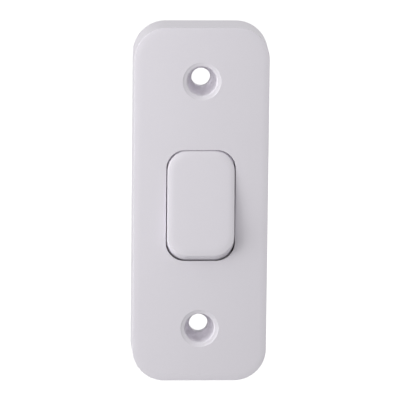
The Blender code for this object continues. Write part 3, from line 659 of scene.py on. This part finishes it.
def make_contact(name, y, z, facing, node, body, turn=None):
    """A domed rivet of silver through a strip; its seat is at y and its dome points facing."""
    shank = RIVET_HOLE - 0.15
    profile = [(0, -1.35), *arc(1.05, -1.20, 0.15, 0.15, -90, 0, 4), (1.2, -1.0), (shank, -1.0)]
    profile += [(shank, 0), *arc(CONTACT_RADIUS - 0.1, 0.1, 0.1, 0.1, -90, 0, 3)]
    profile += [*arc(0, 0.3, CONTACT_RADIUS, 0.4, 0, 90, 14)[:-1], (0, 0.7)]
    profile = [(radius, y + facing * distance) for radius, distance in profile]
    contact = turned(name, profile, "Y", (0, 0, z))
    placed(contact, node, body, "silver", turn)


def hole_through(radius, low, high, x, z):
    """The cutter for a pierced hole between two faces, with a slight break on each edge."""
    chamfer = 0.08
    wide = radius + chamfer + PAST
    profile = [(0, low - PAST), (wide, low - PAST), (radius, low + chamfer), (radius, high - chamfer)]
    return turned("hole", profile + [(wide, high + PAST), (0, high + PAST)], "Y", (x, 0, z), 56)


def make_contact_beam():
    """The see-saw beam with its V notch, its raised ends and its two moving contacts."""
    front = -STRIP_THICKNESS
    end = BEAM_HALF_LENGTH
    raised = 0.3
    outline = [(front, raised - end), (front + raised, -end), (0, -end), (0, -0.5), (-0.2, 0)]
    outline += [(0, 0.5), (0, end), (front + raised, end), (front, end - raised)]
    width = -BEAM_HALF_WIDTH, BEAM_HALF_WIDTH
    beam = prism("contact_beam_pressing", outline, "X", *width, STRIP_EDGE)
    holes = [hole_through(RIVET_HOLE, front, 0, 0, side * CONTACT_REACH) for side in (1, -1)]
    placed(worked(beam, openings=holes), "contact_beam", "beam", "copper", BEAM_TURN)
    for side, end in ((1, "upper"), (-1, "lower")):
        node = f"{end}_moving_contact"
        make_contact(f"{node}_rivet", 0.1, side * CONTACT_REACH, 1, node, "beam", BEAM_TURN)


def make_common_strap():
    """The strap under the beam, with a knife edge to rock on, two ears and a tail to its terminal."""
    near_x = TERMINAL_X - TAIL_HALF
    far_x = TERMINAL_X + TAIL_HALF
    outline = [(STRAP_LEFT, -STRAP_HALF), (far_x, -STRAP_HALF), (far_x, TAIL_END)]
    outline += [(near_x, TAIL_END), (near_x, STRAP_HALF), (STRAP_LEFT, STRAP_HALF)]
    strap = prism("common_strap_pressing", outline, "Y", STRIP_Y, STRIP_REAR_Y, STRIP_EDGE)
    sunk = STRIP_Y + STRIP_THICKNESS / 2
    tip_y = hinge("beam_tilt").y - 0.05
    knife = [(sunk, -1.7), (sunk, 1.7), (tip_y, 0.03), (tip_y, -0.03)]
    additions = [prism("knife_edge", knife, "X", -BEAM_HALF_WIDTH, BEAM_HALF_WIDTH)]
    for side in (1, -1):
        near, far = sorted((side * 2.65, side * 3.25))
        additions.append(block((near, 6.4, -STRAP_HALF), (far, sunk, STRAP_HALF), 0.12))
    worked(strap, additions, [hole_through(SCREW_HOLE, STRIP_Y, STRIP_REAR_Y, TERMINAL_X, TERMINAL_Z)])
    placed(strap, "common_strap", "base", "copper")


def make_line_strip(line, side):
    """A line's strip, from under the beam's end to the terminal, and its fixed contact."""
    near_z = side * (CONTACT_REACH - TAIL_HALF)
    far_z = side * (CONTACT_REACH + TAIL_HALF)
    left_x = -TERMINAL_X - TAIL_HALF
    right_x = -TERMINAL_X + TAIL_HALF
    outline = [(TAIL_HALF, near_z), (TAIL_HALF, far_z), (right_x, far_z), (right_x, side * TAIL_END)]
    outline += [(left_x, side * TAIL_END), (left_x, near_z)]
    strip = prism(f"{line}_strip_pressing", outline, "Y", STRIP_Y, STRIP_REAR_Y, STRIP_EDGE)
    rivet_hole = hole_through(RIVET_HOLE, STRIP_Y, STRIP_REAR_Y, 0, side * CONTACT_REACH)
    screw_hole = hole_through(SCREW_HOLE, STRIP_Y, STRIP_REAR_Y, -TERMINAL_X, side * TERMINAL_Z)
    placed(worked(strip, openings=[rivet_hole, screw_hole]), f"{line}_contact_strip", "base", "copper")
    contact = f"{line}_fixed_contact"
    make_contact(f"{contact}_rivet", STRIP_Y - 0.1, side * CONTACT_REACH, -1, contact, "base")


# ---------------------------------------------------------------- terminals and screws

WIRE_Y = 6.4
WIRE_HOLE = 1.95
WIRE_FUNNEL = 0.2
SCREW_THREAD = 1.6
SCREW_LEAD = 0.3  # the plain tip before a screw's thread
# Radius of the shank; radius and height of the head; where the thread ends, its pitch and its depth.
TERMINAL_SCREW = (1.5, (2.4, 1.6), (13.2, 0.5, 0.25))
HOUSING_SCREW = (1.3, (2.35, 1.5), (2.4, 0.9, 0.32))


def make_terminal(name):
    """A brass pillar: the wire goes in along Z, and the screw comes in from the rear."""
    low, high = span(name)
    middle = (low + high) / 2
    pillar = block(low, high, 0.35, 4)
    pillar.name = f"{name}_pillar"
    half = (high.z - low.z) / 2
    flared = WIRE_HOLE + WIRE_FUNNEL + PAST
    ends = [(0, half + PAST), (flared, half + PAST), (WIRE_HOLE, half - WIRE_FUNNEL)]
    through = ends + [(radius, -distance) for radius, distance in ends[::-1]]
    wire = turned("wire_hole", through, "Z", (middle.x, WIRE_Y, middle.z))
    thread = bore(SCREW_THREAD, WIRE_Y, high.y, (middle.x, 0, middle.z))
    placed(worked(pillar, openings=[wire, thread]), name, "base", "brass")


def thread_ridge(start, end, pitch, depth):
    """How much a screw's thread stands in from its crest, by angle and distance along the axis."""

    def ridge(angle, distance):
        if not start < distance < end:
            return 0.0
        phase = (distance / pitch - angle / (2 * math.pi)) % 1
        fade = min(1, (distance - start) / pitch, (end - distance) / pitch)
        return -depth * fade * abs(2 * phase - 1)

    return ridge


def make_screw(node, body, shank, head, thread):
    """A cheese-head screw along Y, with a cut slot and a rolled thread from its tip to thread's end."""
    low, high = span(node)
    axis = (low + high) / 2
    head_radius, head_height = head
    thread_end, pitch, depth = thread
    start = low.y + SCREW_LEAD
    under_head = high.y - head_height
    levels = evenly(start, thread_end, int((thread_end - low.y) / pitch * 8))
    profile = [(0, low.y), (shank - depth - 0.1, low.y), (shank - 0.3 * depth, low.y + 0.28)]
    profile += [(shank, level) for level in levels]
    profile.append((shank, under_head - 0.15))
    profile += arc(head_radius - 0.12, under_head + 0.12, 0.12, 0.12, -90, 0, 3)
    profile += [*arc(head_radius - 0.3, high.y - 0.3, 0.3, 0.3, 0, 90, 5), (0, high.y)]
    ridge = thread_ridge(start, thread_end, pitch, depth)
    screw = turned(f"{node}_body", profile, "Y", steps=64, ridge=ridge)
    reach = head_radius + PAST
    worked(screw, openings=[block((-reach, high.y - 0.8, -0.35), (reach, high.y + PAST, 0.35), 0.05)])
    screw.location = (axis.x, 0, axis.z)
    placed(screw, node, body, "plated_steel", sharp=38)


# ---------------------------------------------------------------- housing and bearing frame

HOUSING_LOW, HOUSING_HIGH = span("mechanism_housing")
FRAME_LOW, FRAME_HIGH = span("bearing_frame")
FLOOR_Y = 11.35
SLAB_CORNER = 2.0
SLAB_EDGE = 0.12
HOUSING_REAR_EDGE = 0.6
LABEL_DEPTH = 0.2
SCREW_SEAT_Y = 12.4
FRAME_FRONT_Y = -2.6
NOTCH_RADIUS = 1.55
NOTCH_CHAMFER = 0.2


def rounded_slab(name, size, levels):
    """A rounded rectangle through (y, inset) levels."""
    sections = []
    for y, inset in levels:
        outline = rounded_rectangle(size.x - 2 * inset, size.z - 2 * inset, SLAB_CORNER - inset, 10)
        sections.append([(x, y, z) for x, z in outline])
    return loft(name, sections)


def pocket(near, far, corner=0.4, start=HOUSING_LOW.y - PAST, end=FLOOR_Y):
    """The cutter for a pocket with rounded corners, given two opposite (x, z) corners."""
    middle_x, middle_z = (near[0] + far[0]) / 2, (near[1] + far[1]) / 2
    outline = rounded_rectangle(abs(far[0] - near[0]), abs(far[1] - near[1]), corner, 5)
    return prism("pocket", [(middle_x + x, middle_z + z) for x, z in outline], "Y", start, end)


def terminal_ways(side_x, side_z):
    """The slot for the strip, the well for the screw and the funnel for the wire."""
    x = side_x * TERMINAL_X
    slot = pocket((x - 2.4, side_z * 12.4), (x + 2.4, side_z * 15.6), 0.2)
    well = bore(2.85, FLOOR_Y - PAST, HOUSING_HIGH.y, (x, 0, side_z * TERMINAL_Z), 0.3)
    entry = bore(2.3, side_z * 19.6, side_z * HOUSING_HIGH.z, (x, WIRE_Y, 0), 0.45, "Z")
    return [slot, well, entry]


def turned_hole(radius, start, end, z):
    """The cutter for a plain round hole along Y."""
    return turned("hole", [(0, start), (radius, start), (radius, end), (0, end)], "Y", (0, 0, z), 56)


def make_mechanism_housing():
    """The moulding around the mechanism: pockets for its parts, and ways for wires and screws."""
    low, high = HOUSING_LOW.y, HOUSING_HIGH.y
    levels = [(low, SLAB_EDGE), (low + SLAB_EDGE, 0)]
    edge = HOUSING_REAR_EDGE
    levels += [(high - edge + rise, inset) for inset, rise in arc(edge, 0, -edge, edge, 0, 90, 6)]
    housing = rounded_slab("housing_moulding", HOUSING_HIGH - HOUSING_LOW, levels)
    openings = [pocket((-8.9, -13.4), (8.9, 13.4), 0.6)]
    openings.append(pocket((-7.5, -11.0), (7.5, 11.0), 1.5, high - LABEL_DEPTH, high + PAST))
    for side_z in (1, -1):
        for side_x in (1, -1):
            openings.append(pocket((side_x * 3.2, side_z * 14.6), (side_x * 9.2, side_z * 20.6)))
            if (side_x, side_z) in TERMINALS.values():
                openings += terminal_ways(side_x, side_z)
        openings.append(turned_hole(1.45, low - PAST, high, side_z * PILLAR_Z))
        openings.append(bore(2.6, SCREW_SEAT_Y, high, (0, 0, side_z * PILLAR_Z), 0.3))
        openings.append(turned_hole(1.6, FLOOR_Y - PAST, 11.95, side_z * CONTACT_REACH))
    placed(worked(housing, openings=openings), "mechanism_housing", "base", "base_plastic")


def make_bearing_frame():
    """A flat frame over the housing's mouth, with two notched posts that carry the trunnions."""
    front, rear = FRAME_FRONT_Y, FRAME_HIGH.y
    levels = [(rear, SLAB_EDGE), (rear - SLAB_EDGE, 0), (front + SLAB_EDGE, 0), (front, SLAB_EDGE)]
    frame_body = rounded_slab("bearing_frame_moulding", FRAME_HIGH - FRAME_LOW, levels)
    top = FRAME_LOW.y
    mouth = NOTCH_RADIUS + NOTCH_CHAMFER
    notch = [(top - PAST, -mouth), (top, -mouth), (top + NOTCH_CHAMFER, -NOTCH_RADIUS)]
    notch += arc(PIVOT.y, 0, NOTCH_RADIUS, NOTCH_RADIUS, -90, 90, 24)
    notch += [(top + NOTCH_CHAMFER, NOTCH_RADIUS), (top, mouth), (top - PAST, mouth)]
    openings = [pocket((-8.3, -13.0), (8.3, 13.0), 0.6, front - PAST, rear + PAST)]
    openings.append(prism("notches", notch, "X", -FRAME_HIGH.z, FRAME_HIGH.z))
    openings += [turned_hole(3.0, front - PAST, rear + PAST, side * PILLAR_Z) for side in (1, -1)]
    posts = []
    for side in (1, -1):
        near, far = sorted((side * 8.3, side * 10.7))
        posts.append(block((near, top, -3.2), (far, rear - ROOT, 3.2), 0.2))
    worked(frame_body, posts, openings)
    placed(frame_body, "bearing_frame", "base", "base_plastic")


# ---------------------------------------------------------------- studio

LAMP_DISTANCE = 0.30
LAMP_SIZE = 0.20
ROOM_FORWARD = (0.62, 0.37, 0.57)  # strength from the right, the back and above
ROOM_BACKWARD = (0.0, 0.0, 0.43)  # strength from the left, the front and below
FLOOR_RADIUS = 8.0
FLOOR_LEVEL = -0.6
FLOOR_GLOW = 0.56
CAMERA_YAW = 0.052125
CAMERA_PITCH = 0.219573
CAMERA_ROLL = 0.010538
CAMERA_PLACE = Vector((-57.868, -1114.986, 248.441)) * MM
CAMERA_LENS = 428.544


def lamp(name, azimuth, elevation, power):
    """A soft round lamp aimed at the object; azimuth 0 is straight in front, and less is to the left."""
    turn, lift = math.radians(azimuth), math.radians(elevation)
    place = Vector((math.sin(turn) * math.cos(lift), -math.cos(turn) * math.cos(lift), math.sin(lift)))
    data = bpy.data.lights.new(name, "AREA")
    data.shape = "DISK"
    data.size = LAMP_SIZE
    data.energy = power
    light = bpy.data.objects.new(name, data)
    light.location = place * LAMP_DISTANCE
    light.rotation_mode = "QUATERNION"
    light.rotation_quaternion = (-place).to_track_quat("-Z", "Y")
    bpy.context.scene.collection.objects.link(light)


def make_world():
    """White behind the object as the camera sees it, and a soft room that lights it from all round.

    The room's strength is given for the six ways along the axes and blends between them.
    """
    world = bpy.data.worlds.new("studio_room")
    world.use_nodes = True
    tree = world.node_tree
    background = tree.nodes["Background"]
    background.inputs["Color"].default_value = (1, 1, 1, 1)
    way = tree.nodes.new("ShaderNodeTexCoord").outputs["Generated"]
    total = tree.nodes.new("ShaderNodeMath")
    for index, (sign, strengths) in enumerate(((1, ROOM_FORWARD), (-1, ROOM_BACKWARD))):
        signed = tree.nodes.new("ShaderNodeVectorMath")
        signed.operation = "MULTIPLY"
        signed.inputs[1].default_value = (sign, sign, sign)
        forward = tree.nodes.new("ShaderNodeVectorMath")
        forward.operation = "MAXIMUM"
        forward.inputs[1].default_value = (0, 0, 0)
        weighed = tree.nodes.new("ShaderNodeVectorMath")
        weighed.operation = "DOT_PRODUCT"
        weighed.inputs[1].default_value = strengths
        tree.links.new(way, signed.inputs[0])
        tree.links.new(signed.outputs["Vector"], forward.inputs[0])
        tree.links.new(forward.outputs["Vector"], weighed.inputs[0])
        tree.links.new(weighed.outputs["Value"], total.inputs[index])
    seen = tree.nodes.new("ShaderNodeLightPath")
    strength = tree.nodes.new("ShaderNodeMix")
    strength.inputs["B"].default_value = 1.0
    tree.links.new(seen.outputs["Is Camera Ray"], strength.inputs["Factor"])
    tree.links.new(total.outputs["Value"], strength.inputs["A"])
    tree.links.new(strength.outputs["Result"], background.inputs["Strength"])
    bpy.context.scene.world = world


def make_floor():
    """A plain pale floor, well below the object."""
    bm = bmesh.new()
    bmesh.ops.create_circle(bm, cap_ends=True, radius=FLOOR_RADIUS, segments=96)
    floor = new_object("studio_floor", bm)
    floor.location.z = FLOOR_LEVEL
    recipe = Recipe("pale_floor", 0.8, 0.0)
    recipe.shader.inputs["Emission Strength"].default_value = FLOOR_GLOW
    recipe.shader.inputs["Emission Color"].default_value = (1, 1, 1, 1)
    tone = recipe.ramp(recipe.noise(3, 2), (0.3, (0.90, 0.90, 0.90)), (0.7, (0.92, 0.92, 0.92)))
    recipe.finish(tone, recipe.ranged(recipe.noise(8, 2), 0.75, 0.85))
    floor.data.materials.append(recipe.material)
    floor.visible_diffuse = False
    floor.visible_glossy = False
    floor.visible_shadow = False


def make_camera():
    """The photograph's viewpoint: a long lens, above the plate's middle and a little to its left."""
    ahead = math.cos(CAMERA_PITCH)
    look = Vector((math.sin(CAMERA_YAW) * ahead, math.cos(CAMERA_YAW) * ahead, -math.sin(CAMERA_PITCH)))
    level = look.cross(Vector((0, 0, 1))).normalized()
    upright = level.cross(look)
    across = math.cos(CAMERA_ROLL) * level + math.sin(CAMERA_ROLL) * upright
    up = math.cos(CAMERA_ROLL) * upright - math.sin(CAMERA_ROLL) * level
    place = Matrix((across, up, -look)).transposed().to_4x4()
    place.translation = CAMERA_PLACE
    data = bpy.data.cameras.new("photo_camera")
    data.sensor_width = 36
    data.lens = CAMERA_LENS
    data.clip_start = 0.05
    data.clip_end = 50
    camera = bpy.data.objects.new("photo_camera", data)
    camera.matrix_world = place
    bpy.context.scene.collection.objects.link(camera)
    bpy.context.scene.camera = camera


def make_studio():
    bpy.context.scene.view_settings.view_transform = "Standard"
    make_world()
    make_floor()
    make_camera()
    lamp("key_front", -35, 20, 0.243)
    lamp("key_upper", -65, 35, 0.150)
    lamp("key_lower", -65, -5, 0.490)


# ---------------------------------------------------------------- the whole switch

SLOT_MATERIALS = {
    "white_plastic": WHITE,
    "base_plastic": BASE,
    "acetal": ACETAL,
    "brass": BRASS,
    "copper": COPPER,
    "silver": SILVER,
    "plated_steel": ZINC,
    "spring_steel": WIRE,
}
TERMINALS = {"common": (1, 1), "line1": (-1, 1), "line2": (-1, -1)}

make_front_plate()
make_rocker()
make_plunger()
make_plunger_spring()
make_contact_beam()
make_common_strap()
make_line_strip("line1", 1)
make_line_strip("line2", -1)
for terminal in TERMINALS:
    make_terminal(f"{terminal}_terminal")
    make_screw(f"{terminal}_terminal_screw", f"{terminal}_screw", *TERMINAL_SCREW)
for end in ("upper", "lower"):
    make_screw(f"{end}_housing_screw", "base", *HOUSING_SCREW)
make_mechanism_housing()
make_bearing_frame()
make_studio()
